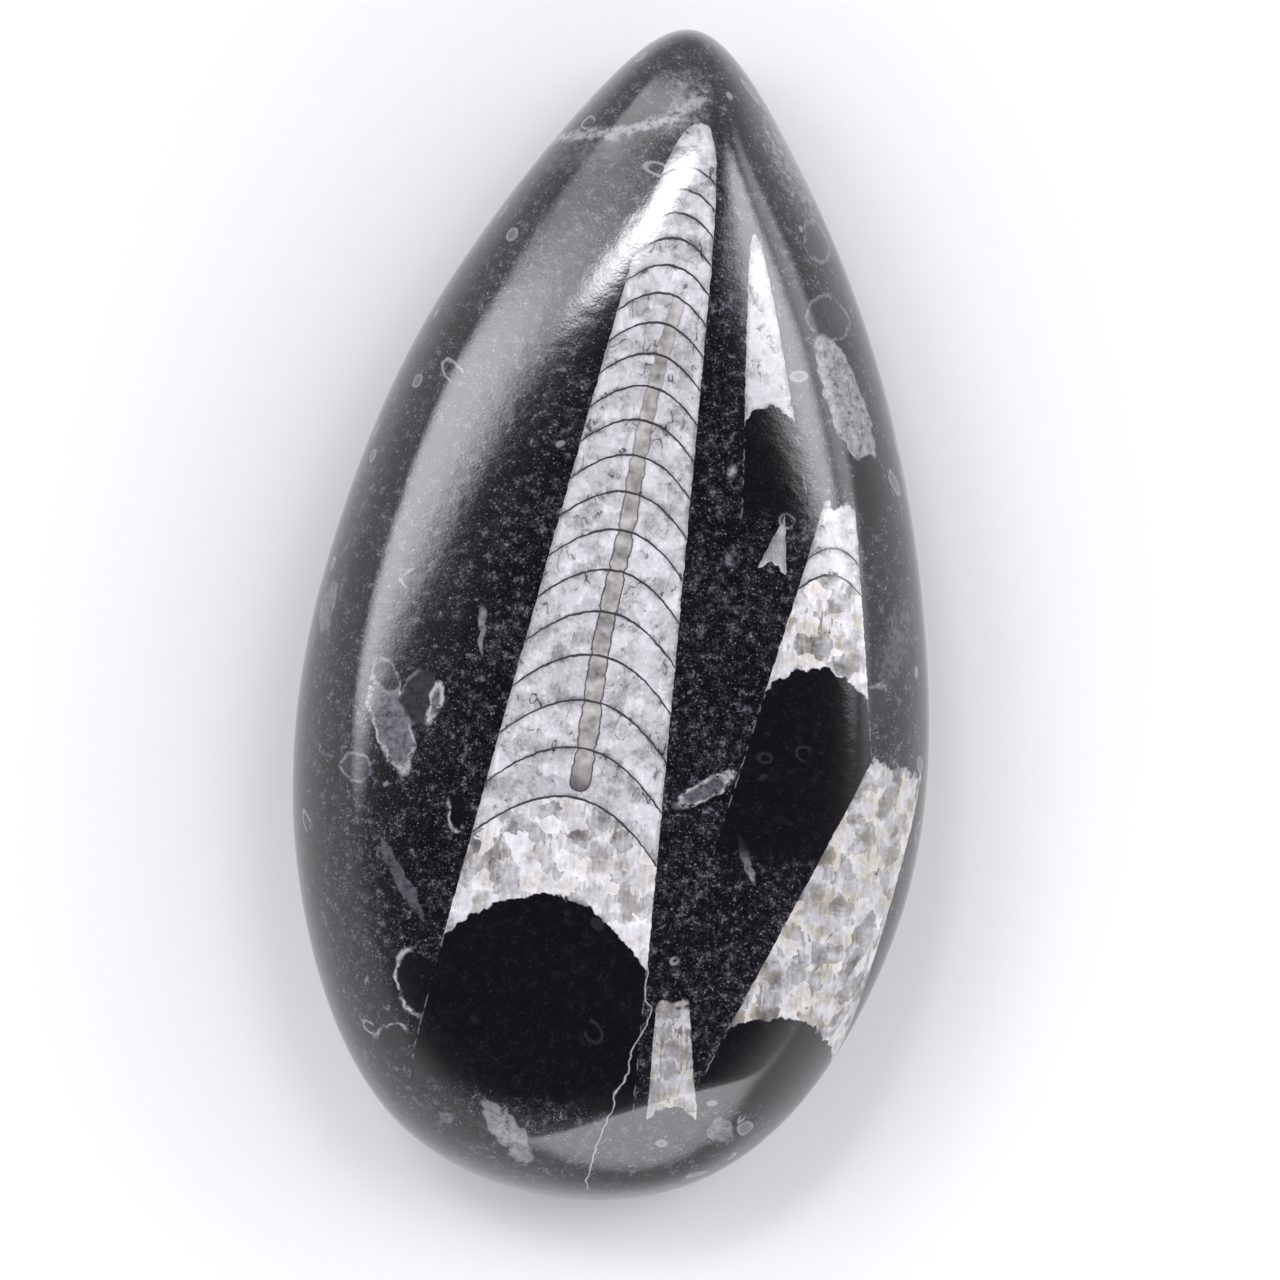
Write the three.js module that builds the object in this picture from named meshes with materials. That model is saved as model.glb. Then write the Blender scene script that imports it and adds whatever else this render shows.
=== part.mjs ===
// An orthoceras fossil stone: one teardrop of black fossil limestone, ground and polished all round.
// Millimetres. +Y runs to the point, +X to the right, and +Z out of the face that shows the fossils.
// The origin is the middle of the flat back that the stone lies on.

import * as THREE from "three";

// The outline seen from the front: control points of a closed uniform cubic B-spline,
// anticlockwise from the point of the teardrop.
const OUTLINE = [
  [4, 83.2], [-8.5, 70], [-20.5, 53], [-31, 34.5], [-37.5, 14.5], [-42, -6],
  [-42.7, -27], [-38.5, -48.5], [-28, -70], [-9, -79], [12.5, -78.3], [28.5, -66.5],
  [39.5, -44], [43.2, -22.5], [41, 0], [36.5, 21.5], [28.5, 44.5], [16.5, 66],
];

// The rings of the surface shrink from the outline towards this point.
const CENTRE = [1, -14];

const THICKNESS = 36; // back to the front face, before the edges are rounded
const GIRDLE_HEIGHT = 15; // height of the widest line round the stone

// The front face is nearly flat: it falls away from its centre with these two radii.
const CROWN = { radiusX: 320, radiusY: 1100 };

// The rounded shoulder that rises from the girdle to the front face.
const SHOULDER = { width: 19, power: 2, extraHeight: 1.5, blend: 3.5 };

// Flats ground into the front face. Each falls away towards `azimuth` (degrees from +X) at `slope`
// degrees, leaves the level of the thickness `start` mm from the origin, and is rounded into its
// neighbours over `blend` mm of height.
const FLATS = [
  { name: "left", azimuth: 162, start: 20.2, slope: 19, blend: 6 },
  { name: "upper left", azimuth: 138, start: 30, slope: 22, blend: 6 },
  { name: "right", azimuth: 26.7, start: 30.5, slope: 21, blend: 6 },
  { name: "point", azimuth: 92, start: 59, slope: 30, blend: 6 },
  { name: "lower band", azimuth: -80, start: 53.1, slope: 7, blend: 0.2 },
  { name: "lower bevel", azimuth: -70, start: 60.5, slope: 36, blend: 0.5 },
];

// The underside curves in from the girdle to the flat back.
const UNDERSIDE = { width: 9, power: 2.2 };

const SEGMENTS_AROUND = 96;
const FRONT_RINGS = 24;
const UNDERSIDE_RINGS = 7;

const STONE_COLOUR = 0x17151a;
const STONE_ROUGHNESS = 0.2;

const radians = (degrees) => (degrees * Math.PI) / 180;

// A point of the outline, and how far the tangent there passes from the centre.
function outlinePoint(turn) {
  const count = OUTLINE.length;
  const position = turn * count;
  const first = Math.floor(position);
  const t = position - first;
  const weights = [
    (1 - t) ** 3 / 6,
    (3 * t ** 3 - 6 * t ** 2 + 4) / 6,
    (-3 * t ** 3 + 3 * t ** 2 + 3 * t + 1) / 6,
    t ** 3 / 6,
  ];
  const slopes = [
    -((1 - t) ** 2) / 2,
    (3 * t ** 2 - 4 * t) / 2,
    (-3 * t ** 2 + 2 * t + 1) / 2,
    t ** 2 / 2,
  ];
  const point = [0, 0];
  const tangent = [0, 0];
  for (let i = 0; i < 4; i += 1) {
    const control = OUTLINE[(first + i + count - 1) % count];
    for (const axis of [0, 1]) {
      point[axis] += weights[i] * control[axis];
      tangent[axis] += slopes[i] * control[axis];
    }
  }
  const length = Math.hypot(tangent[0], tangent[1]);
  const reach =
    ((point[0] - CENTRE[0]) * tangent[1] - (point[1] - CENTRE[1]) * tangent[0]) / length;
  return { x: point[0], y: point[1], reach };
}

// The lower of two heights, with the corner between them rounded over `blend` mm.
function smoothMin(a, b, blend) {
  const overlap = Math.max(blend - Math.abs(a - b), 0) / blend;
  return Math.min(a, b) - (overlap ** 3 * blend) / 6;
}

function crownHeight(x, y) {
  const dx = x - CENTRE[0];
  const dy = y - CENTRE[1];
  return THICKNESS - dx ** 2 / (2 * CROWN.radiusX) - dy ** 2 / (2 * CROWN.radiusY);
}

function flatHeight(flat, x, y) {
  const along = x * Math.cos(radians(flat.azimuth)) + y * Math.sin(radians(flat.azimuth));
  return THICKNESS - (along - flat.start) * Math.tan(radians(flat.slope));
}

// `inset` is the distance in from the outline.
function shoulderHeight(inset) {
  const rise = THICKNESS + SHOULDER.extraHeight - GIRDLE_HEIGHT;
  const left = Math.max(1 - inset / SHOULDER.width, 0);
  return GIRDLE_HEIGHT + rise * (1 - left ** SHOULDER.power) ** (1 / SHOULDER.power);
}

function frontHeight(x, y, inset) {
  let height = crownHeight(x, y);
  for (const flat of FLATS) {
    height = smoothMin(height, flatHeight(flat, x, y), flat.blend);
  }
  return smoothMin(height, shoulderHeight(inset), SHOULDER.blend);
}

// One ring of the surface: every point of the outline moved in towards the centre. `insetAt` gives
// the distance moved from the reach of the point, and `heightAt` the height at the new place.
function ring(insetAt, heightAt) {
  const points = [];
  for (let i = 0; i < SEGMENTS_AROUND; i += 1) {
    const edge = outlinePoint(i / SEGMENTS_AROUND);
    const inset = insetAt(edge.reach);
    const scale = 1 - inset / edge.reach;
    const x = CENTRE[0] + scale * (edge.x - CENTRE[0]);
    const y = CENTRE[1] + scale * (edge.y - CENTRE[1]);
    points.push([x, y, heightAt(x, y, inset)]);
  }
  return points;
}

// Rings from near the middle of the front out to the girdle, closer together towards the girdle.
function frontRings() {
  const rings = [];
  for (let k = 1; k <= FRONT_RINGS; k += 1) {
    const scale = Math.sin((Math.PI / 2) * (k / FRONT_RINGS));
    rings.push(ring((reach) => (1 - scale) * reach, frontHeight));
  }
  return rings;
}

// Rings from the girdle down and in to the edge of the flat back.
function undersideRings() {
  const rings = [];
  for (let k = 1; k <= UNDERSIDE_RINGS; k += 1) {
    const angle = (Math.PI / 2) * (k / UNDERSIDE_RINGS);
    const inset = UNDERSIDE.width * (1 - Math.cos(angle) ** (2 / UNDERSIDE.power));
    const height = GIRDLE_HEIGHT * (1 - Math.sin(angle) ** (2 / UNDERSIDE.power));
    rings.push(ring(() => inset, () => height));
  }
  return rings;
}

// A closed skin through the rings, with a fan of triangles at each end.
function stoneGeometry() {
  const rings = [...frontRings(), ...undersideRings()];
  const [middleX, middleY] = CENTRE;
  const frontMiddle = [middleX, middleY, frontHeight(middleX, middleY, SHOULDER.width)];
  const backMiddle = [middleX, middleY, 0];
  const vertices = [frontMiddle, ...rings.flat(), backMiddle];
  const last = vertices.length - 1;
  const vertex = (ringIndex, i) => 1 + ringIndex * SEGMENTS_AROUND + (i % SEGMENTS_AROUND);

  const faces = [];
  for (let i = 0; i < SEGMENTS_AROUND; i += 1) {
    faces.push([0, vertex(0, i), vertex(0, i + 1)]);
    for (let r = 0; r < rings.length - 1; r += 1) {
      faces.push([vertex(r, i), vertex(r + 1, i), vertex(r + 1, i + 1)]);
      faces.push([vertex(r, i), vertex(r + 1, i + 1), vertex(r, i + 1)]);
    }
    faces.push([last, vertex(rings.length - 1, i + 1), vertex(rings.length - 1, i)]);
  }

  const geometry = new THREE.BufferGeometry();
  geometry.setAttribute("position", new THREE.Float32BufferAttribute(vertices.flat(), 3));
  geometry.setIndex(faces.flat());
  geometry.computeVertexNormals();
  return geometry;
}

const material = new THREE.MeshStandardMaterial({
  color: STONE_COLOUR,
  roughness: STONE_ROUGHNESS,
});
material.name = "polished_fossil_limestone";

const stone = new THREE.Mesh(stoneGeometry(), material);
stone.name = "fossil_stone";

const part = new THREE.Group();
part.name = "orthoceras_fossil";
part.add(stone);

export default part;
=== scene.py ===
"""The looks of an orthoceras fossil: a teardrop of black fossil limestone, polished all round.

Lengths are millimetres in the CAD frame unless a name says metres. +Y runs to the point of the
teardrop, +X to the right and +Z out of the face that shows the fossils.
"""

import math
from collections import namedtuple

import bpy
import numpy as np
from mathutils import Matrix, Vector, noise


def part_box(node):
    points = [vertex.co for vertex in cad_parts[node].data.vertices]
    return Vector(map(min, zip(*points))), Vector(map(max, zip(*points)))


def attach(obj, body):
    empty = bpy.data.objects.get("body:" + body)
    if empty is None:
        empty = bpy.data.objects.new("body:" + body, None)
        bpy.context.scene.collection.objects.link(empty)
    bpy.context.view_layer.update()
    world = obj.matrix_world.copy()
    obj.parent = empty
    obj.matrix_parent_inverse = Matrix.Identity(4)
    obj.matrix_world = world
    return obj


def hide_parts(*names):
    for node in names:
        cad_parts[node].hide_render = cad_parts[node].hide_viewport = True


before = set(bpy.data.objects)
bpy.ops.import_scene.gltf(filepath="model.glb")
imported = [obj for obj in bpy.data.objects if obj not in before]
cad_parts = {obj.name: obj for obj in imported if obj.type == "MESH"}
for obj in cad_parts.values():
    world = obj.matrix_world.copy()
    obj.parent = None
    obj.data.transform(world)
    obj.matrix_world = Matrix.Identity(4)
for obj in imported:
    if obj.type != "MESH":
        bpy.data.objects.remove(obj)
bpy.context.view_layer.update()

METRES_PER_MM = 0.001
NODE = "fossil_stone"

# ---------------------------------------------------------------------------------------------
# The shape of the stone, with the same driving dimensions as its CAD solid
# ---------------------------------------------------------------------------------------------

# Control points of a closed uniform cubic B-spline, anticlockwise from the point.
OUTLINE = [
    (4, 83.2), (-8.5, 70), (-20.5, 53), (-31, 34.5), (-37.5, 14.5), (-42, -6),
    (-42.7, -27), (-38.5, -48.5), (-28, -70), (-9, -79), (12.5, -78.3), (28.5, -66.5),
    (39.5, -44), (43.2, -22.5), (41, 0), (36.5, 21.5), (28.5, 44.5), (16.5, 66),
]
CENTRE = np.array([1.0, -14.0])
THICKNESS = 36.0
GIRDLE_HEIGHT = 15.0
CROWN_RADIUS_X = 320.0
CROWN_RADIUS_Y = 1100.0
SHOULDER_WIDTH = 19.0
SHOULDER_POWER = 2.0
SHOULDER_EXTRA_HEIGHT = 1.5
SHOULDER_BLEND = 3.5
UNDERSIDE_WIDTH = 9.0
UNDERSIDE_POWER = 2.2

# Flats ground into the front: azimuth and slope in degrees, start and blend in millimetres.
Flat = namedtuple("Flat", "azimuth start slope blend")
FLATS = [
    Flat(162, 20.2, 19, 6),
    Flat(138, 30, 22, 6),
    Flat(26.7, 30.5, 21, 6),
    Flat(92, 59, 30, 6),
    Flat(-80, 53.1, 7, 0.2),
    Flat(-70, 60.5, 36, 0.5),
]

SEGMENTS_AROUND = 400
FRONT_RINGS = 150
UNDERSIDE_RINGS = 26
BACK_RINGS = 10

# Hand grinding leaves the faces a little uneven.
WAVE_SIZE = 11.0
WAVE_DEPTH = 0.05

# Space round the two islands of the UV map, in millimetres of surface.
ISLAND_GAP = 4.0


def outline_points(count):
    """Points of the outline, and how far the tangent at each one passes from the centre."""
    controls = np.array(OUTLINE, dtype=float)
    position = np.arange(count) / count * len(controls)
    first = position.astype(int)
    t = (position - first)[:, None]
    before, start, end, after = (
        controls[(first + step) % len(controls)] for step in (-1, 0, 1, 2)
    )
    point = (
        (1 - t) ** 3 * before
        + (3 * t**3 - 6 * t**2 + 4) * start
        + (-3 * t**3 + 3 * t**2 + 3 * t + 1) * end
        + t**3 * after
    ) / 6
    tangent = (
        -((1 - t) ** 2) * before
        + (3 * t**2 - 4 * t) * start
        + (-3 * t**2 + 2 * t + 1) * end
        + t**2 * after
    )
    tangent /= np.linalg.norm(tangent, axis=1)[:, None]
    arm = point - CENTRE
    reach = arm[:, 0] * tangent[:, 1] - arm[:, 1] * tangent[:, 0]
    return point, reach


def smooth_min(a, b, blend):
    """The lower of two heights, with the corner between them rounded."""
    overlap = np.maximum(blend - np.abs(a - b), 0) / blend
    return np.minimum(a, b) - overlap**3 * blend / 6


def front_height(place, inset):
    """Height of the front at places in the plane that lie `inset` in from the outline."""
    arm = place - CENTRE
    height = THICKNESS
    height = height - arm[:, 0] ** 2 / (2 * CROWN_RADIUS_X) - arm[:, 1] ** 2 / (2 * CROWN_RADIUS_Y)
    for flat in FLATS:
        azimuth = math.radians(flat.azimuth)
        along = place @ np.array([math.cos(azimuth), math.sin(azimuth)])
        level = THICKNESS - (along - flat.start) * math.tan(math.radians(flat.slope))
        height = smooth_min(height, level, flat.blend)
    rise = THICKNESS + SHOULDER_EXTRA_HEIGHT - GIRDLE_HEIGHT
    left = np.maximum(1 - inset / SHOULDER_WIDTH, 0)
    shoulder = GIRDLE_HEIGHT + rise * (1 - left**SHOULDER_POWER) ** (1 / SHOULDER_POWER)
    return smooth_min(height, shoulder, SHOULDER_BLEND)


def stone_rings():
    """Rings of points from the front's middle over the girdle to the back's middle."""
    outline, reach = outline_points(SEGMENTS_AROUND)

    def ring(inset, heights):
        scale = 1 - inset / reach
        place = CENTRE + scale[:, None] * (outline - CENTRE)
        height = heights(place, inset) if callable(heights) else np.full(len(reach), heights)
        return np.column_stack([place, height])

    rings = []
    for k in range(1, FRONT_RINGS + 1):
        scale = math.sin(math.pi / 2 * k / FRONT_RINGS)
        rings.append(ring((1 - scale) * reach, front_height))
    for k in range(1, UNDERSIDE_RINGS + 1):
        angle = math.pi / 2 * k / UNDERSIDE_RINGS
        inset = UNDERSIDE_WIDTH * (1 - max(math.cos(angle), 0) ** (2 / UNDERSIDE_POWER))
        height = GIRDLE_HEIGHT * (1 - math.sin(angle) ** (2 / UNDERSIDE_POWER))
        rings.append(ring(np.full(len(reach), inset), height))
    for k in range(1, BACK_RINGS):
        share = k / BACK_RINGS
        rings.append(ring(UNDERSIDE_WIDTH + share * (reach - UNDERSIDE_WIDTH), 0.0))
    return rings


def ring_faces(ring_count):
    """Faces of the closed skin: a fan at each end and quads between the rings."""
    last = 1 + ring_count * SEGMENTS_AROUND
    faces = []
    for i in range(SEGMENTS_AROUND):
        j = (i + 1) % SEGMENTS_AROUND
        faces.append((0, 1 + i, 1 + j))
    for r in range(ring_count - 1):
        inner = 1 + r * SEGMENTS_AROUND
        outer = inner + SEGMENTS_AROUND
        for i in range(SEGMENTS_AROUND):
            j = (i + 1) % SEGMENTS_AROUND
            faces.append((inner + i, outer + i, outer + j, inner + j))
    inner = last - SEGMENTS_AROUND
    for i in range(SEGMENTS_AROUND):
        j = (i + 1) % SEGMENTS_AROUND
        faces.append((last, inner + j, inner + i))
    return faces


def read_vectors(elements, name):
    values = np.empty(len(elements) * 3)
    elements.foreach_get(name, values)
    return values.reshape(-1, 3)


def add_waves(mesh):
    """Sinks the surface a little, unevenly, everywhere but on the flat back."""
    places = read_vectors(mesh.vertices, "co")
    normals = read_vectors(mesh.vertices, "normal")
    swell = np.array([noise.noise(Vector(place)) for place in places / (WAVE_SIZE * METRES_PER_MM)])
    off_the_back = np.minimum(places[:, 2] / (GIRDLE_HEIGHT * METRES_PER_MM), 1)
    depth = (0.5 + 0.5 * swell) * off_the_back * WAVE_DEPTH * METRES_PER_MM
    mesh.vertices.foreach_set("co", (places - normals * depth[:, None]).ravel())
    mesh.update()


def fit_to_box(mesh, box):
    """Scales the mesh, by a few hundredths of a millimetre, to fill the CAD solid's box."""
    places = read_vectors(mesh.vertices, "co")
    low, high = (np.array(corner) for corner in box)
    own_low, own_high = places.min(axis=0), places.max(axis=0)
    places = low + (places - own_low) / (own_high - own_low) * (high - low)
    mesh.vertices.foreach_set("co", places.ravel())
    mesh.update()


def unroll(mesh, rings):
    """Adds the UV map that the bake uses: the front and the back laid flat side by side."""
    girdle = FRONT_RINGS - 1
    front = [np.tile(np.append(CENTRE, THICKNESS), (SEGMENTS_AROUND, 1))] + rings[: girdle + 1]
    back = [np.tile(np.append(CENTRE, 0.0), (SEGMENTS_AROUND, 1))] + rings[:girdle - 1:-1]

    def island(layers):
        layers = np.array(layers)
        steps = np.linalg.norm(np.diff(layers, axis=0), axis=2)
        length = np.vstack([np.zeros(SEGMENTS_AROUND), np.cumsum(steps, axis=0)])
        arm = layers[-1, :, :2] - CENTRE
        arm /= np.linalg.norm(arm, axis=1)[:, None]
        return length[..., None] * arm

    front_island = island(front)
    back_island = island(back)
    width, height = np.ptp(front_island, axis=(0, 1))
    spread = max(height, 2 * width + ISLAND_GAP) + ISLAND_GAP
    middle = ISLAND_GAP / 2 - front_island.min(axis=(0, 1))
    shift = np.array([front_island[..., 0].max() - back_island[..., 0].min() + ISLAND_GAP, 0.0])
    front_uv = (front_island + middle) / spread
    back_uv = (back_island + middle + shift) / spread

    count = SEGMENTS_AROUND
    front_of = np.zeros((len(mesh.vertices), 2))
    back_of = np.zeros((len(mesh.vertices), 2))
    front_of[0] = front_uv[0, 0]
    front_of[1 : 1 + (girdle + 1) * count] = front_uv[1:].reshape(-1, 2)
    back_of[1 + girdle * count : -1] = back_uv[:0:-1].reshape(-1, 2)
    back_of[-1] = back_uv[0, 0]

    corner_vertex = np.empty(len(mesh.loops), dtype=int)
    mesh.loops.foreach_get("vertex_index", corner_vertex)
    front_corners = 3 * count + 4 * count * girdle
    uv = np.vstack([front_of[corner_vertex[:front_corners]], back_of[corner_vertex[front_corners:]]])
    layer = mesh.uv_layers.new(name="OFBake")
    layer.data.foreach_set("uv", uv.ravel())


def make_stone():
    rings = stone_rings()
    middle_height = front_height(CENTRE[None, :], np.array([SHOULDER_WIDTH]))[0]
    front_middle = np.append(CENTRE, middle_height)
    back_middle = np.append(CENTRE, 0.0)
    places = np.vstack([front_middle, *rings, back_middle]) * METRES_PER_MM
    mesh = bpy.data.meshes.new("stone_surface")
    mesh.from_pydata(places.tolist(), [], ring_faces(len(rings)))
    mesh.update()
    add_waves(mesh)
    fit_to_box(mesh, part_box(NODE))
    unroll(mesh, rings)
    mesh.shade_smooth()
    stone = bpy.data.objects.new("polished_stone", mesh)
    bpy.context.scene.collection.objects.link(stone)
    return stone


# ---------------------------------------------------------------------------------------------
# Arithmetic that builds shader nodes
# ---------------------------------------------------------------------------------------------


class Field:
    """A value that varies through the stone: `scale` times a node's output, plus `offset`.

    Arithmetic on fields adds shader nodes. Plain numbers only change the scale and the offset, and
    become a node where the field is used, so that the nodes stay few.
    """

    def __init__(self, graph, socket, scale=1.0, offset=0.0):
        self.graph = graph
        self.socket = socket
        self.scale = scale
        self.offset = offset
        self.finished = socket if scale == 1 and offset == 0 else None

    def output(self):
        """The socket that gives the value, with the scale and the offset worked in."""
        if self.finished is None:
            bare = Field(self.graph, self.socket)
            if self.offset == 0:
                whole = self.graph.math("MULTIPLY", bare, self.scale)
            elif self.scale == 1:
                whole = self.graph.math("ADD", bare, self.offset)
            else:
                whole = self.graph.math("MULTIPLY_ADD", bare, self.scale, self.offset)
            self.finished = whole.socket
        return self.finished

    def __add__(self, other):
        if not isinstance(other, Field):
            return Field(self.graph, self.socket, self.scale, self.offset + other)
        own = Field(self.graph, self.socket)
        added = Field(self.graph, other.socket)
        ratio = other.scale / self.scale
        if ratio == 1:
            total = self.graph.math("ADD", own, added)
        elif ratio == -1:
            total = self.graph.math("SUBTRACT", own, added)
        else:
            total = self.graph.math("MULTIPLY_ADD", added, ratio, own)
        return Field(self.graph, total.socket, self.scale, self.offset + other.offset)

    __radd__ = __add__

    def __mul__(self, other):
        if not isinstance(other, Field):
            return Field(self.graph, self.socket, self.scale * other, self.offset * other)
        if self.offset or other.offset:
            return self.graph.math("MULTIPLY", self, other)
        own = Field(self.graph, self.socket)
        product = self.graph.math("MULTIPLY", own, Field(self.graph, other.socket))
        return product * (self.scale * other.scale)

    __rmul__ = __mul__

    def __neg__(self):
        return self * -1.0

    def __sub__(self, other):
        return self + -other

    def __rsub__(self, other):
        return -self + other

    def __truediv__(self, other):
        if not isinstance(other, Field):
            return self * (1.0 / other)
        return self.graph.math("DIVIDE", self, other)

    def __abs__(self):
        return self.graph.math("ABSOLUTE", self)

    def above(self, level, softness):
        """0 below `level` and 1 above it, changing over `softness` on each side."""
        return self.graph.step(self, level - softness, level + softness)

    def below(self, level, softness):
        return self.graph.step(self, level + softness, level - softness)

    def between(self, low, high, softness):
        return self.above(low, softness) * self.below(high, softness)


class Graph:
    """Adds nodes to the node tree of a material or of the world.

    Each method adds one node, or a few, and gives its output as a field.
    """

    def __init__(self, tree):
        self.tree = tree

    def node(self, kind, **settings):
        made = self.tree.nodes.new(kind)
        for name, value in settings.items():
            setattr(made, name, value)
        return made

    def feed(self, socket, value):
        if isinstance(value, Field):
            self.tree.links.new(value.output(), socket)
        else:
            socket.default_value = value

    def math(self, operation, *values):
        made = self.node("ShaderNodeMath", operation=operation)
        for socket, value in zip(made.inputs, values):
            self.feed(socket, value)
        return Field(self, made.outputs[0])

    def vector_math(self, operation, *values):
        made = self.node("ShaderNodeVectorMath", operation=operation)
        for socket, value in zip(made.inputs, values):
            self.feed(socket, value)
        output = "Value" if operation in ("LENGTH", "DOT_PRODUCT") else "Vector"
        return Field(self, made.outputs[output])

    def scaled(self, vector, scale):
        """The vector times a number."""
        made = self.node("ShaderNodeVectorMath", operation="SCALE")
        self.feed(made.inputs[0], vector)
        self.feed(made.inputs["Scale"], scale)
        return Field(self, made.outputs["Vector"])

    def step(self, value, low, high, bottom=0.0, top=1.0):
        """Changes smoothly from `bottom` to `top` while the value goes from `low` to `high`."""
        if not isinstance(low, Field) and not isinstance(high, Field):
            low = (low - value.offset) / value.scale
            high = (high - value.offset) / value.scale
            value = Field(self, value.socket)
        made = self.node("ShaderNodeMapRange", interpolation_type="SMOOTHSTEP")
        self.feed(made.inputs["Value"], value)
        self.feed(made.inputs["From Min"], low)
        self.feed(made.inputs["From Max"], high)
        self.feed(made.inputs["To Min"], bottom)
        self.feed(made.inputs["To Max"], top)
        return Field(self, made.outputs["Result"])

    def mix(self, share, a, b):
        """`a` where the share is 0 and `b` where it is 1."""
        made = self.node("ShaderNodeMix", data_type="FLOAT")
        self.feed(made.inputs["Factor"], share)
        self.feed(made.inputs["A"], a)
        self.feed(made.inputs["B"], b)
        return Field(self, made.outputs["Result"])

    def split(self, vector):
        made = self.node("ShaderNodeSeparateXYZ")
        self.feed(made.inputs[0], vector)
        return tuple(Field(self, output) for output in made.outputs)

    def split_colour(self, colour):
        made = self.node("ShaderNodeSeparateColor")
        self.feed(made.inputs[0], colour)
        return tuple(Field(self, output) for output in made.outputs)

    def join(self, x, y, z):
        made = self.node("ShaderNodeCombineXYZ")
        for socket, value in zip(made.inputs, (x, y, z)):
            self.feed(socket, value)
        return Field(self, made.outputs[0])

    def curve(self, value, points):
        """The height, at `value`, of the line of straight pieces through the points."""
        across = [point[0] for point in points]
        up = [point[1] for point in points]
        left, width = min(across), max(across) - min(across)
        bottom, height = min(up), max(up) - min(up)
        made = self.node("ShaderNodeFloatCurve")
        line = made.mapping.curves[0]
        for _ in points[2:]:
            line.points.new(0.5, 0.5)
        for knot, point in zip(line.points, sorted(points)):
            knot.location = ((point[0] - left) / width, (point[1] - bottom) / height)
            knot.handle_type = "VECTOR"
        made.mapping.update()
        self.feed(made.inputs["Value"], (value - left) / width)
        return Field(self, made.outputs[0]) * height + bottom

    def placed(self, place, centre, turn, size):
        """The place in the axes of something: its middle, its turn in degrees and its size."""
        made = self.node("ShaderNodeMapping", vector_type="TEXTURE")
        self.feed(made.inputs["Vector"], place)
        self.feed(made.inputs["Location"], centre)
        self.feed(made.inputs["Rotation"], tuple(math.radians(angle) for angle in turn))
        self.feed(made.inputs["Scale"], size)
        return Field(self, made.outputs[0])

    def noise(self, place, size, detail=2.0, roughness=0.5, output="Fac"):
        """Cloudy noise, 0.5 on average, with features about `size` across."""
        made = self.node("ShaderNodeTexNoise")
        self.feed(made.inputs["Vector"], place)
        self.feed(made.inputs["Scale"], 1.0 / size)
        self.feed(made.inputs["Detail"], detail)
        self.feed(made.inputs["Roughness"], roughness)
        return Field(self, made.outputs[output])

    def warped(self, place, size, depth, detail=2.0):
        """The place, shifted by up to about half of `depth` in a random direction."""
        red, green, blue = self.split_colour(self.noise(place, size, detail, 0.6, output="Color"))
        shift = self.join(red - 0.5, green - 0.5, blue - 0.5)
        return self.vector_math("ADD", place, self.scaled(shift, depth))

    def cells(self, place, size):
        made = self.node("ShaderNodeTexVoronoi")
        self.feed(made.inputs["Vector"], place)
        self.feed(made.inputs["Scale"], 1.0 / size)
        return made

    def random(self, number):
        """A random number from 0 to 1 for each whole number."""
        made = self.node("ShaderNodeTexWhiteNoise", noise_dimensions="1D")
        self.feed(made.inputs["W"], number)
        return Field(self, made.outputs["Value"])


# ---------------------------------------------------------------------------------------------
# What the stone shows
# ---------------------------------------------------------------------------------------------

# A size for what runs on past the stone or the room.
ENDLESS = 1e6

# Brightness is the share of light that comes back, from 0 to 1.
MUD = 0.003
MUD_DUST = 0.011
MUD_SMEARS = 0.045
MUD_BLOTS = 0.10
MUD_SPECKS = 0.24
CHAMBER_MUD = 0.004
CHAMBER_WALL = 0.13
FINE_CALCITE = 0.48
COARSE_CALCITE = 0.51
MILKY_EDGES = 0.60
STAINS = 0.14
HAIRLINES = 0.12
SEPTA = 0.04
SIPHUNCLE = 0.27
SIPHUNCLE_END = 0.04
SIPHUNCLE_OUTLINE = 0.045
SHELL_RINGS = 0.17
SHELL_FILLINGS = 0.14
VEIN_CALCITE = 0.20
CRACK_CALCITE = 0.30
DARKEST = 0.002

# The polish: its roughness where it is best, and the depth of its pits.
POLISH = 0.05
PIT_DEPTH = 0.007
CALCITE_IOR = 1.6

# Random small shells: the size of the cells that hold one each, and the share of cells that do.
SHELL_CELL = 5.0
SHELL_SHARE = 0.3

# An orthocone is a straight conical shell, filled with calcite and mud. `apex` is where its sides
# would meet, `height` the level of that point, `turn` the angle of the axis from straight down the
# stone and `dip` how steeply it sinks, both in degrees. It is `tall` times as deep as it is wide.
# Along the axis, as distances from the apex: the shell `begins`; then comes fine calcite up to
# `fine_ends`, coarse crystals up to `spar_ends`, and a black body chamber up to `ends`.
Orthocone = namedtuple(
    "Orthocone",
    "apex turn half_angle height dip tall begins fine_ends spar_ends ends brightness brown septa "
    "siphuncle",
)
# Septa are the curved walls between chambers. The spacing holds at the first one, and each chamber
# is wider than the one before by the share `growth`. On the cone's wall a septum lies further from
# the apex than on the axis, by `SEPTUM_BOW` times the cone's radius.
Septa = namedtuple("Septa", "first spacing growth")
SEPTUM_BOW = 0.56
SEPTUM_THICKNESS = 0.04
SEPTUM_SOFTNESS = 0.11

# How ragged the broken start of a shell is, and the line between two of its fillings.
RAGGED_START = 5.0
RAGGED_END = 2.5
SHELL_SOFTNESS = 0.06
WALL_THICKNESS = 0.14

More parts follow.
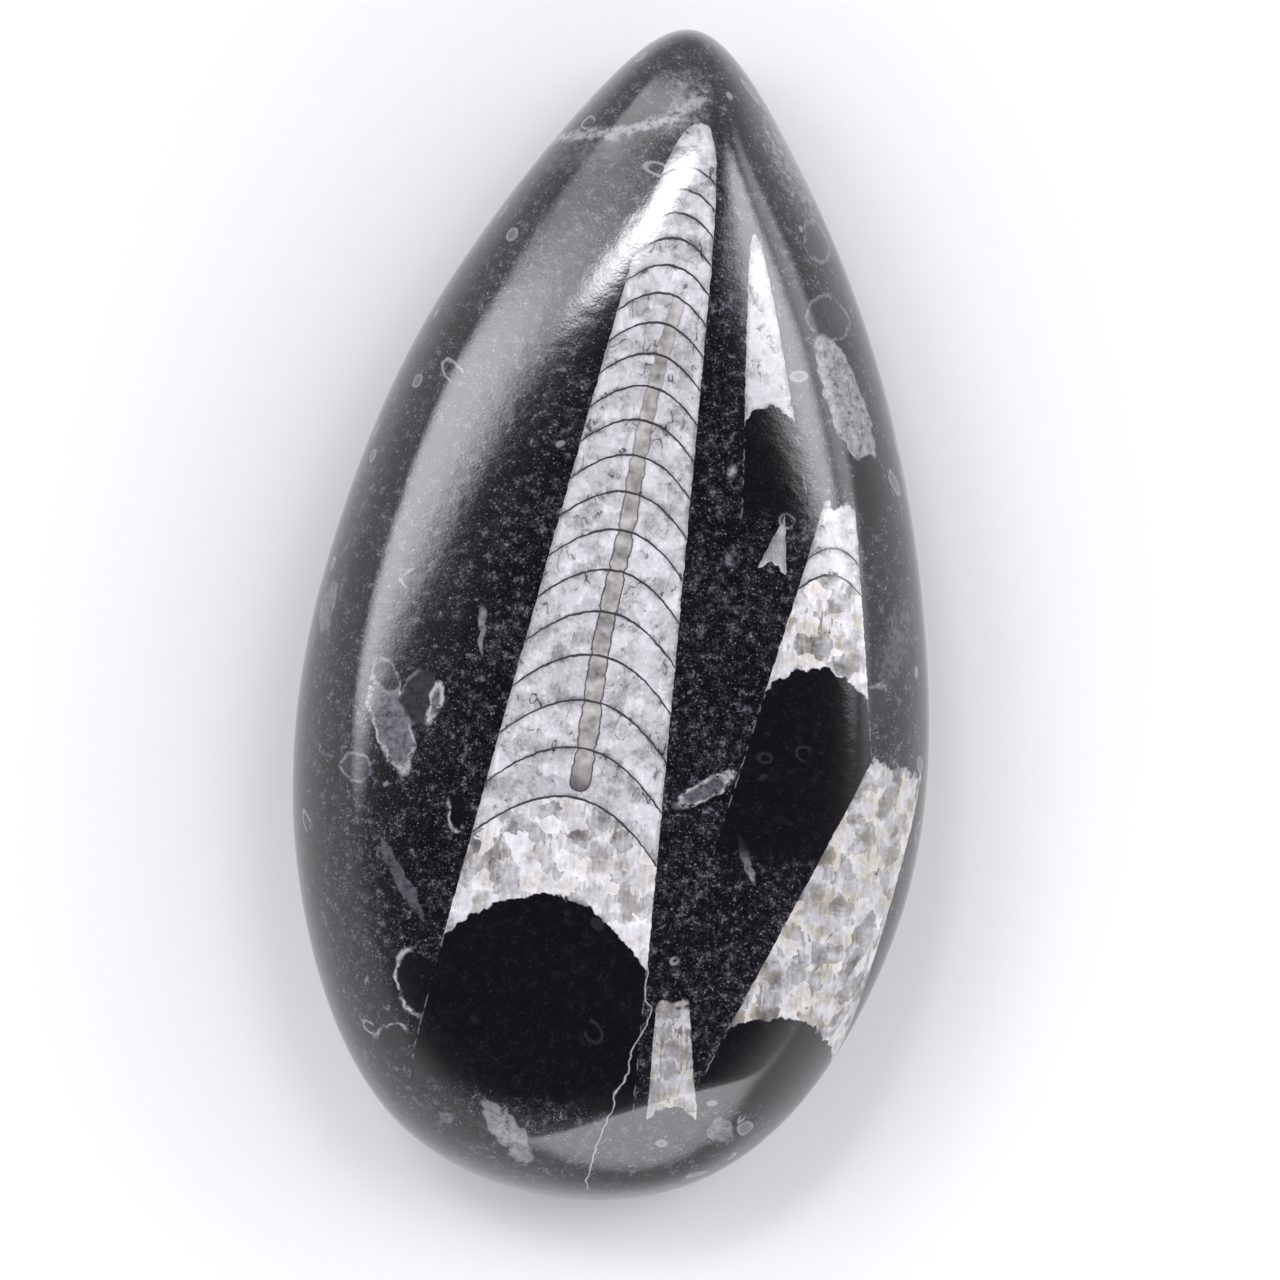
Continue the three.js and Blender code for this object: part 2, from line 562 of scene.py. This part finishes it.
# The siphuncle is a thin tube through the chambers. Distances run along the axis from the apex.
SIPHUNCLE_BEGINS = 62.5
SIPHUNCLE_RADIUS = 0.42
SIPHUNCLE_WIDENING = 0.0072  # for each millimetre along the axis
SIPHUNCLE_OFF_AXIS = 0.2
SIPHUNCLE_STRAYS_BEFORE = 86.0  # nearer the apex than this it moves off to the side,
SIPHUNCLE_STRAYS_BY = 0.058  # by this much for each millimetre
SIPHUNCLE_SWAY = 0.25
SIPHUNCLE_TO_LAST_SEPTUM = 2.2

ORTHOCONES = {
    "upper right": Orthocone(
        apex=(12.7, 57.3), turn=-8.2, half_angle=6.1, height=33.8, dip=0, tall=1, begins=6,
        fine_ends=29.5, spar_ends=29.5, ends=44, brightness=0.9, brown=0, septa=None,
        siphuncle=False,
    ),
    "small tip": Orthocone(
        apex=(20.2, 14.1), turn=8.8, half_angle=14.6, height=35.0, dip=0, tall=1, begins=0.8,
        fine_ends=6.2, spar_ends=6.4, ends=6.4, brightness=0.72, brown=0, septa=None,
        siphuncle=False,
    ),
    "right": Orthocone(
        apex=(27.7, 27.1), turn=2.6, half_angle=10.8, height=33.5, dip=0, tall=1, begins=11.6,
        fine_ends=20.2, spar_ends=32.2, ends=58, brightness=1.0, brown=0.5,
        septa=Septa(16.6, 3.4, 0.05), siphuncle=False,
    ),
    "lower right": Orthocone(
        apex=(50.0, 20.5), turn=17.8, half_angle=6.0, height=29, dip=0, tall=2.5, begins=40,
        fine_ends=0, spar_ends=75, ends=88, brightness=0.84, brown=0.6, septa=None, siphuncle=False,
    ),
    "bottom": Orthocone(
        apex=(7.15, -2.2), turn=-4.0, half_angle=3.0, height=33, dip=0, tall=5 / 3, begins=48.2,
        fine_ends=0, spar_ends=61.5, ends=61.5, brightness=0.72, brown=0.5, septa=None,
        siphuncle=False,
    ),
    "back": Orthocone(
        apex=(-26, -86), turn=-168, half_angle=5.4, height=1.5, dip=0, tall=1, begins=42,
        fine_ends=104, spar_ends=112, ends=134, brightness=0.95, brown=0.4,
        septa=Septa(45, 3.3, 0.042), siphuncle=False,
    ),
    "large": Orthocone(
        apex=(9.1, 103.1), turn=6.0, half_angle=5.15, height=34.1, dip=-0.69, tall=1, begins=38,
        fine_ends=128.2, spar_ends=141.2, ends=168, brightness=1.0, brown=0.25,
        septa=Septa(44.3, 3.13, 0.0417), siphuncle=True,
    ),
}

# Shell fragments that the front cuts through, as ellipses: the middle, the angle of the long axis
# from +X, the half length and half width, the brightness of the rim, if it has one, and of the
# filling, and the side (degrees from the long axis) that has the rim, or None for all round.
Fragment = namedtuple("Fragment", "centre lean half_length half_width rim filling side")
FRAGMENTS = [
    Fragment((-28.7, -16.4), -70, 6.4, 2.3, 0.30, 0.20, None),
    Fragment((-29.9, -10.6), -60, 2.4, 1.4, 0.16, 0.05, None),
    Fragment((-25.2, -13.0), 80, 3.4, 2.4, 0.12, 0.05, 100),
    Fragment((-23.2, -13.6), 76, 2.4, 0.8, 0.35, 0.22, None),
    Fragment((-32.8, -22.6), 0, 1.9, 1.8, 0.16, 0.06, None),
    Fragment((-27.4, 2.2), 20, 1.5, 1.3, 0.20, 0.05, 160),
    Fragment((-17.8, -3.9), 93, 2.9, 0.42, None, 0.28, None),
    Fragment((-19.2, -27.6), 100, 2.2, 1.2, 0.28, 0.01, 130),
    Fragment((-25.9, -36.6), -56, 6.0, 0.9, None, 0.12, None),
    Fragment((-22.8, -50.0), 110, 4.3, 2.5, 0.36, 0.01, 75),
    Fragment((-25.6, -57.4), 20, 2.2, 1.5, 0.22, 0.01, 90),
    Fragment((-17.7, -67.7), 0, 0.9, 0.8, None, 0.16, None),
    Fragment((-9.6, -68.6), -52, 4.6, 1.7, 0.16, 0.30, None),
    Fragment((18.1, -66.7), 0, 1.8, 1.7, None, 0.22, None),
    Fragment((12.6, -22.1), 32, 3.8, 1.1, 0.34, 0.16, None),
    Fragment((18.7, -30.8), -70, 3.3, 0.55, None, 0.24, None),
    Fragment((21.8, 50.5), -68, 2.8, 1.7, 0.12, 0.05, None),
    Fragment((24.0, 40.3), -50, 3.0, 2.7, 0.13, 0.05, None),
    Fragment((27.0, 29.8), -65, 9.0, 2.5, None, 0.38, None),
    Fragment((30.9, 18.4), -84, 4.6, 2.1, None, 0.008, None),
    Fragment((-38.6, -2.2), 80, 3.6, 1.0, None, 0.18, None),
    Fragment((33.4, -9.5), 60, 3.0, 1.6, 0.20, 0.03, 60),
]

# Pale clouds in the mud, in the same terms as the fragments. The two faint ones, at (-8, 60) and
# (36, -2), are painted reflection: a pale haze in place of the grey that the sloping faces mirror.
Cloud = namedtuple("Cloud", "centre lean half_length half_width brightness")
PALE_CLOUDS_AND_PAINTED_REFLECTION = [
    Cloud((3.5, 66.5), 90, 10, 6, 0.20),
    Cloud((17.5, 62.0), -62, 19, 6.5, 0.22),
    # Painted reflection: a faint pale haze for the grey mirrored on the upper left slope.
    Cloud((-8, 60), 20, 14, 4, 0.10),
    Cloud((12.8, 18.9), 75, 3.4, 1.2, 0.30),
    Cloud((13.4, 7.6), 20, 2.6, 1.6, 0.20),
    # Painted reflection: a faint pale haze for the grey mirrored on the right slope.
    Cloud((36, -2), 80, 14, 4, 0.10),
]

# The white vein across the point, from left to right, and the healed crack at the round end,
# from bottom to top.
VEIN = [(-16, 61.6), (-14.4, 61.8), (-6, 62.3), (-3.1, 63), (1.7, 65.1), (4.1, 66.9), (6, 68)]
CRACK = [
    (-75.5, 1.2), (-71.7, 1.7), (-68.4, 2.5), (-64.4, 3.7), (-61.8, 4.3), (-59.7, 5.7),
    (-58.1, 5.3), (-56.5, 5.7), (-53.8, 7.2), (-51.1, 7.7), (-49.9, 6.9), (-45.3, 7),
]


# Strength of the tie in Paint.before, far below what a shader number can hold.
TIE = 1e-9


class Paint:
    """What has been laid on the stone so far: how bright it is, and how brown."""

    def __init__(self, graph, shade, brown):
        self.graph = graph
        self.shade = shade
        self.brown = brown

    def lay(self, cover, shade, brown=None):
        self.shade = self.graph.mix(cover, self.shade, shade)
        if brown is not None:
            self.brown = self.graph.mix(cover, self.brown, brown)

    def before(self, place):
        """The same place, tied to the paint so far by a term too small to move it.

        Cycles keeps the values in use on a small stack. The tie makes it finish the layers that
        are already laid before it works on the next one, so that the stack doesn't overflow.
        """
        return self.graph.scaled(place, 1.0 + TIE * self.shade)


class Calcite:
    """The two kinds of calcite that fill the shells, and the unevenness they share."""

    def __init__(self, graph, place):
        x, y, z = graph.split(place)
        stretched = graph.join(x, y * 0.5, z)
        self.softly = graph.noise(place, 1.6, detail=2.0) - 0.5
        self.patchy = self.softly.above(0.02, 0.06)
        self.thickness = SEPTUM_THICKNESS + 0.13 * graph.noise(place, 2.4, detail=1.0)
        self.outer = self.thickness + SEPTUM_SOFTNESS
        clouds = graph.noise(place, 2.6, detail=4.0, roughness=0.65)
        grain = graph.noise(place, 0.5, detail=2.0, roughness=0.65)
        flecks = graph.noise(stretched, 0.9, detail=3.0, roughness=0.7)
        cell = graph.cells(graph.warped(place, 1.3, 1.6, detail=1.0), 2.7)
        tone, stripe, tint = graph.split_colour(Field(graph, cell.outputs["Color"]))
        self.cloudy = clouds.above(0.44, 0.08)

        # Fine pale calcite of the chambers, clouded with grey and crossed by hairline cracks.
        shade = FINE_CALCITE + 0.20 * (grain - 0.5) + 0.13 * (tone - 0.5)
        shade = shade - 0.20 * clouds.above(0.53, 0.11) * flecks.above(0.42, 0.14)
        shade = shade + 0.10 * flecks.above(0.58, 0.08)
        stains = flecks.below(0.36, 0.05) * clouds.above(0.50, 0.06)
        shade = graph.mix(stains * 0.7, shade, STAINS)
        hairs = abs(graph.noise(stretched, 3.4, detail=2.0) - 0.5).below(0.007, 0.006)
        self.fine = graph.mix(hairs * clouds.above(0.54, 0.04), shade, HAIRLINES)

        # Coarse crystals: glassy and fibrous, shaded from the middle out, some clear, some milky.
        from_middle = Field(graph, cell.outputs["Distance"])
        crossed = graph.join(x / 0.5 + stripe * 9.0, y / 2.4 + tint * 5.0, tone * 40.0)
        fibres = graph.noise(crossed, 1.0, detail=2.0)
        shade = COARSE_CALCITE - 0.20 * tone + 0.32 * (fibres - 0.5) + 0.22 * (grain - 0.5)
        shade = shade + 0.5 * ((stripe - 0.3) * from_middle)
        edges = from_middle.above(0.58, 0.12) * fibres.above(0.48, 0.08)
        shade = graph.mix(edges * 0.8, shade, MILKY_EDGES)
        grey = tint.above(0.72, 0.04) * clouds.above(0.42, 0.14)
        shade = graph.mix(grey * 0.75, shade, 0.10 + 0.26 * from_middle)
        self.brown = clouds.above(0.52, 0.08)
        self.coarse = graph.math("MAXIMUM", shade - 0.10 * self.brown, 0.04)


def paint_orthocone(graph, paint, place, cone, calcite):
    """One straight shell, as the surface cuts it: body chamber, crystals, chambers and septa."""
    place = paint.before(place)
    axes = (cone.dip, 0, -cone.turn)
    local = graph.placed(place, (*cone.apex, cone.height), axes, (1, 1, cone.tall))
    across, up, deep = graph.split(local)
    along = -up
    radius = graph.vector_math("LENGTH", graph.vector_math("MULTIPLY", local, (1, 0, 1)))
    reach = along * math.tan(math.radians(cone.half_angle))
    wall = reach - radius
    bowed = along - SEPTUM_BOW * (radius * radius / reach)
    start = along + RAGGED_START * calcite.softly
    inside = wall.above(0.0, SHELL_SOFTNESS) * start.above(cone.begins, 0.5)

    # The body chamber is filled with plain black mud. Its wall is a thin pale line.
    if cone.ends > cone.spar_ends:
        body = inside * along.below(cone.ends, 1.5)
        paint.lay(body * 0.92, CHAMBER_MUD)
        paint.lay(body * wall.below(WALL_THICKNESS, 0.08) * calcite.patchy, CHAMBER_WALL)

    ragged_end = bowed + RAGGED_END * calcite.softly
    spar = inside * ragged_end.below(cone.spar_ends, 0.15)
    paint.lay(spar, calcite.coarse * cone.brightness, calcite.brown * cone.brown)
    if cone.fine_ends <= cone.begins:
        return

    end = bowed if cone.septa else ragged_end
    chambers = inside * end.below(cone.fine_ends, 0.08)
    edge_shade = graph.step(wall, 0.1, 0.6, 0.72 * cone.brightness, cone.brightness)
    if cone.septa is None:
        paint.lay(chambers, calcite.fine * edge_shade, 0.0)
        return

    # `number` counts the chambers and `width` is how wide they are at this point.
    shift = cone.septa.spacing / cone.septa.growth - cone.septa.first
    width = (bowed + shift) * cone.septa.growth
    number = graph.math("LOGARITHM", width / cone.septa.spacing, math.exp(cone.septa.growth))
    to_septum = graph.math("PINGPONG", number, 0.5) * width
    shade = calcite.fine - 0.07 * graph.random(graph.math("FLOOR", number))
    shade = shade - graph.step(to_septum, 0.9, 0.1, 0.0, 0.09) * calcite.cloudy
    paint.lay(chambers, shade * edge_shade, 0.0)

    if cone.siphuncle:
        paint_siphuncle(graph, paint, cone, calcite, chambers, (across, along, deep), to_septum)

    septa = inside * graph.step(to_septum, calcite.outer, calcite.thickness)
    septa = septa * bowed.between(cone.septa.first - 0.5, cone.fine_ends + 0.5, 0.2)
    paint.lay(septa, SEPTA)


def paint_siphuncle(graph, paint, cone, calcite, chambers, place, to_septum):
    """The thin tube through every chamber, pinched where it meets the septa."""
    across, along, deep = place
    end = cone.fine_ends - SIPHUNCLE_TO_LAST_SEPTUM
    before = graph.math("MAXIMUM", SIPHUNCLE_STRAYS_BEFORE - along, 0.0)
    middle = before * SIPHUNCLE_STRAYS_BY + SIPHUNCLE_OFF_AXIS
    aside = across - middle + SIPHUNCLE_SWAY * graph.math("SINE", along * 0.19)
    past = graph.math("MAXIMUM", along - end, 0.0)
    offset = graph.vector_math("LENGTH", graph.join(aside, past, 0.5 * deep))
    pinch = graph.step(to_septum, 0.1, 0.9, 0.84, 1.0)
    radius = SIPHUNCLE_RADIUS + SIPHUNCLE_WIDENING * along
    tube = radius * pinch + 0.5 * calcite.softly - offset
    shown = chambers * along.above(SIPHUNCLE_BEGINS, 3.0)
    fade = graph.step(along, end - 3.2, end + 2.8, 1.0, 0.0)
    filling = (SIPHUNCLE - SIPHUNCLE_END + 0.6 * calcite.softly) * fade + SIPHUNCLE_END
    paint.lay(shown * tube.above(0.0, 0.07), filling, 0.25)
    edge = shown * abs(tube).below(0.09, 0.08)
    paint.lay(edge * graph.step(along, 70.0, 100.0, 0.35, 1.0), SIPHUNCLE_OUTLINE)


def paint_mud(graph, place):
    """The black limestone, with its dust of tiny white shell bits."""
    clumps = graph.noise(place, 7.0, detail=3.0, roughness=0.62)
    blots = graph.noise(place, 1.3, detail=4.0, roughness=0.75)
    dust = graph.noise(place, 0.34, detail=2.0, roughness=0.7)
    shade = MUD + MUD_DUST * dust.above(0.52, 0.12) * clumps
    paint = Paint(graph, shade, 0.0)
    smears = blots.above(0.54, 0.10) * clumps.above(0.45, 0.15)
    paint.lay(smears * dust.above(0.43, 0.14), MUD_SMEARS)
    paint.lay(blots.above(0.62, 0.05) * dust.above(0.45, 0.10), MUD_BLOTS)
    specks = dust.above(0.67, 0.05) * blots.above(0.40, 0.15)
    paint.lay(specks * (0.25 + clumps), MUD_SPECKS)
    return paint, dust


def paint_scattered_shells(graph, paint, place):
    """Rings, arcs and lenses of shell at random, all through the stone."""
    place = paint.before(place)
    cell = graph.cells(place, SHELL_CELL)
    middle = Field(graph, cell.outputs["Position"])
    first, second, third = graph.split_colour(Field(graph, cell.outputs["Color"]))
    away = graph.vector_math("SUBTRACT", place, middle)
    axis = graph.vector_math("NORMALIZE", graph.join(first - 0.5, second - 0.5, third - 0.5))
    lengthwise = graph.vector_math("DOT_PRODUCT", away, axis)
    distance = graph.vector_math("LENGTH", away)
    squashed = graph.math("SQRT", distance * distance - 0.8 * lengthwise * lengthwise)
    radius = SHELL_CELL * (0.06 + 0.17 * second)
    edge = abs(squashed - radius).below(0.16, 0.08)
    open_side = lengthwise.above(-0.6 * SHELL_CELL * third, 0.3)
    chosen = first.below(SHELL_SHARE, 0.001)
    paint.lay(chosen * edge * open_side, SHELL_RINGS)
    filled = chosen * third.above(0.6, 0.001) * squashed.below(radius, 0.15)
    paint.lay(filled * 0.6, SHELL_FILLINGS)


def ellipse_distance(graph, place, shape):
    """Distance from the middle of a fragment or cloud, at any depth: 1 on its edge."""
    size = (shape.half_length, shape.half_width, ENDLESS)
    local = graph.placed(place, (*shape.centre, 0), (0, 0, shape.lean), size)
    return local, graph.vector_math("LENGTH", local)


def paint_pale_clouds_and_painted_reflection(graph, paint, place, front, grain):
    """Pale, speckled haze on the front, such as the streak beside the tip; the two faintest are
    painted reflection.
    """
    place = paint.before(place)
    speckle = 1.7 * grain - 0.3
    for cloud in PALE_CLOUDS_AND_PAINTED_REFLECTION:
        _, distance = ellipse_distance(graph, place, cloud)
        fade = distance.below(0.6, 0.6)
        paint.lay(front * (fade * grain).above(0.40, 0.16), cloud.brightness * speckle)


def paint_fragments(graph, paint, place, front, grain):
    """The larger shell fragments on the front, each with a filling and perhaps a rim."""
    place = paint.before(place)
    speckle = 1.6 * grain - 0.3
    filled = front * grain.above(0.34, 0.10)
    unbroken = front * grain.above(0.46, 0.12)
    for fragment in FRAGMENTS:
        local, distance = ellipse_distance(graph, place, fragment)
        softness = 0.12 / fragment.half_width
        paint.lay(filled * distance.below(1.0, softness), speckle * fragment.filling)
        if fragment.rim is None:
            continue
        rim = unbroken * abs(distance - 1.0).below(1.5 * softness, 1.4 * softness)
        if fragment.side is not None:
            side = math.radians(fragment.side)
            towards = (math.cos(side), math.sin(side), 0)
            rim = rim * graph.vector_math("DOT_PRODUCT", local, towards).above(0.15, 0.35)
        paint.lay(rim, fragment.rim)


def paint_lines(graph, paint, place, front, grain):
    """The white vein and the healed crack, on the front only."""
    place = paint.before(place)
    x, y, _ = graph.split(place)
    off_vein = abs(y - graph.curve(x, VEIN))
    vein = x.between(VEIN[0][0], VEIN[-1][0], 1.0) * off_vein.below(1.3 * grain, 0.5)
    paint.lay(front * vein * grain.above(0.42, 0.12), VEIN_CALCITE + 0.3 * (grain - 0.5))
    off_crack = abs(x - graph.curve(y, CRACK))
    crack = y.between(CRACK[0][0], CRACK[-1][0], 0.3) * off_crack.below(0.02 + 0.14 * grain, 0.10)
    paint.lay(front * crack, CRACK_CALCITE)


def tinted(graph, paint):
    """The paint's colour: grey, warmer where it is brown and a little violet in the mud."""
    shade = graph.math("MAXIMUM", paint.shade, DARKEST)
    dark = shade.below(0.10, 0.10)
    colour = graph.node("ShaderNodeCombineColor")
    graph.feed(colour.inputs["Red"], shade * (1.0 + 0.10 * paint.brown))
    graph.feed(colour.inputs["Green"], shade * (0.97 - 0.02 * paint.brown - 0.06 * dark))
    graph.feed(colour.inputs["Blue"], shade * (1.02 - 0.30 * paint.brown + 0.14 * dark))
    return Field(graph, colour.outputs[0])


def pitted(graph, place):
    """The faint unevenness of the polish, as a surface normal."""
    relief = graph.noise(place, 0.4, detail=1.0) + 1.8 * graph.noise(place, 1.5, detail=0.0)
    bump = graph.node("ShaderNodeBump")
    graph.feed(bump.inputs["Height"], relief)
    graph.feed(bump.inputs["Strength"], 1.0)
    graph.feed(bump.inputs["Distance"], PIT_DEPTH * METRES_PER_MM)
    return Field(graph, bump.outputs[0])


def stone_material():
    """Polished black limestone with its fossils, worked out from the place in the stone."""
    material = bpy.data.materials.new("polished_fossil_limestone")
    material.use_nodes = True
    graph = Graph(material.node_tree)
    shader = material.node_tree.nodes["Principled BSDF"]

    position = Field(graph, graph.node("ShaderNodeTexCoord").outputs["Object"])
    place = graph.scaled(position, 1 / METRES_PER_MM)
    uneven = graph.warped(place, 1.3, 0.40)
    ragged = graph.warped(place, 2.2, 1.5, detail=1.0)

    paint, dust = paint_mud(graph, place)
    paint_scattered_shells(graph, paint, uneven)
    _, _, z = graph.split(place)
    front = z.above(GIRDLE_HEIGHT, 0.5)
    grain = graph.noise(place, 1.0, detail=3.0, roughness=0.75)
    paint_pale_clouds_and_painted_reflection(graph, paint, ragged, front, grain)
    paint_fragments(graph, paint, ragged, front, grain)
    calcite = Calcite(graph, paint.before(place))
    for cone in ORTHOCONES.values():
        paint_orthocone(graph, paint, uneven, cone, calcite)
    paint_lines(graph, paint, ragged, front, grain)

    graph.feed(shader.inputs["Base Color"], tinted(graph, paint))
    dull = graph.noise(place, 14.0, detail=3.0)
    graph.feed(shader.inputs["Roughness"], POLISH + 0.05 * dull + 0.05 * dust)
    shader.inputs["IOR"].default_value = CALCITE_IOR
    graph.feed(shader.inputs["Normal"], pitted(graph, place))
    return material


# ---------------------------------------------------------------------------------------------
# Floor, light and camera
# ---------------------------------------------------------------------------------------------

# The camera looks straight down on the stone, turned by `ROLL` degrees.
ROLL = 4.4
AIM = Vector((2.7, -3.4, GIRDLE_HEIGHT)) * METRES_PER_MM
CAMERA_DISTANCE = 0.736  # metres from the aim
VIEW_WIDTH = 0.1707  # metres across the picture, at the aim
SENSOR_WIDTH = 36.0

# Soft lights on the walls and ceiling of the room: how far from overhead and which way round they
# are, their half sizes (up and down, then round), all in degrees, and their radiance.
Glow = namedtuple("Glow", "off_axis around half_height half_width radiance")
GLOWS = [
    Glow(29, 118, 4, 7.5, 26),
    Glow(38, 152, 9, 14, 8),
    Glow(48, 118, 6, 12, 4),
    Glow(28, 36, 9, 15, 8),
    Glow(52, 24, 15, 18, 3),
    Glow(72, -76, 12, 32, 3.0),
]
# Where a glow is full and where it has faded out, in half sizes from its middle.
GLOW_FULL = 0.35
GLOW_GONE = 1.45

# Radiance of the room itself against the height of the direction: 0 level, 1 straight up.
ROOM_LEVELS = [(0, 0.94), (0.5, 1.0), (0.766, 0.6), (0.91, 0.23), (0.974, 0.02), (1, 0.005)]
ROOM_RADIANCE = 1.2
ROOM_COLOUR = (0.96, 0.97, 1.0, 1)


def add_room():
    """A pale room: dark overhead, where the camera is, with soft lights round it."""
    world = bpy.data.worlds.new("room")
    bpy.context.scene.world = world
    world.use_nodes = True
    graph = Graph(world.node_tree)
    ray = Field(graph, graph.node("ShaderNodeTexCoord").outputs["Generated"])
    _, _, up = graph.split(ray)
    walls = graph.curve(graph.math("MAXIMUM", up, 0.0), ROOM_LEVELS) * ROOM_RADIANCE
    glows = 0.0
    for glow in GLOWS:
        axes = (0, glow.off_axis, glow.around + ROLL)
        size = (math.sin(math.radians(half)) for half in (glow.half_height, glow.half_width))
        local = graph.placed(ray, (0, 0, 0), axes, (*size, ENDLESS))
        spread = graph.vector_math("LENGTH", local)
        glows = glows + graph.step(spread, GLOW_GONE, GLOW_FULL, 0.0, glow.radiance)
    light = walls + glows * up.above(0.05, 0.05)
    graph.feed(world.node_tree.nodes["Background"].inputs["Strength"], light)
    world.node_tree.nodes["Background"].inputs["Color"].default_value = ROOM_COLOUR


FLOOR_COLOUR = (0.66, 0.66, 0.665, 1)
FLOOR_HALF_SIDE = 3.0  # metres
FLOOR_LEVEL = -0.2


def add_floor():
    """A plain pale floor just under the stone."""
    side = FLOOR_HALF_SIDE
    corners = [(-side, -side, 0), (side, -side, 0), (side, side, 0), (-side, side, 0)]
    mesh = bpy.data.meshes.new("floor")
    mesh.from_pydata(corners, [], [(0, 1, 2, 3)])
    floor = bpy.data.objects.new("floor", mesh)
    floor.location.z = FLOOR_LEVEL * METRES_PER_MM
    bpy.context.scene.collection.objects.link(floor)
    material = bpy.data.materials.new("pale_floor")
    material.use_nodes = True
    graph = Graph(material.node_tree)
    graph.tree.nodes.remove(graph.tree.nodes["Principled BSDF"])
    paper = graph.node("ShaderNodeBsdfDiffuse")
    graph.feed(paper.inputs["Color"], FLOOR_COLOUR)
    graph.feed(graph.tree.nodes["Material Output"].inputs["Surface"], Field(graph, paper.outputs[0]))
    mesh.materials.append(material)


def add_camera():
    data = bpy.data.cameras.new("camera")
    data.sensor_width = SENSOR_WIDTH
    data.lens = SENSOR_WIDTH * CAMERA_DISTANCE / VIEW_WIDTH
    camera = bpy.data.objects.new("camera", data)
    camera.location = AIM + Vector((0, 0, CAMERA_DISTANCE))
    camera.rotation_euler = (0, 0, math.radians(ROLL))
    bpy.context.scene.collection.objects.link(camera)
    bpy.context.scene.camera = camera


# ---------------------------------------------------------------------------------------------
# The scene
# ---------------------------------------------------------------------------------------------

add_camera()
add_room()
add_floor()

stone = make_stone()
stone.data.materials.append(stone_material())
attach(stone, "root")
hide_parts(NODE)

bpy.context.scene.view_settings.view_transform = "Standard"
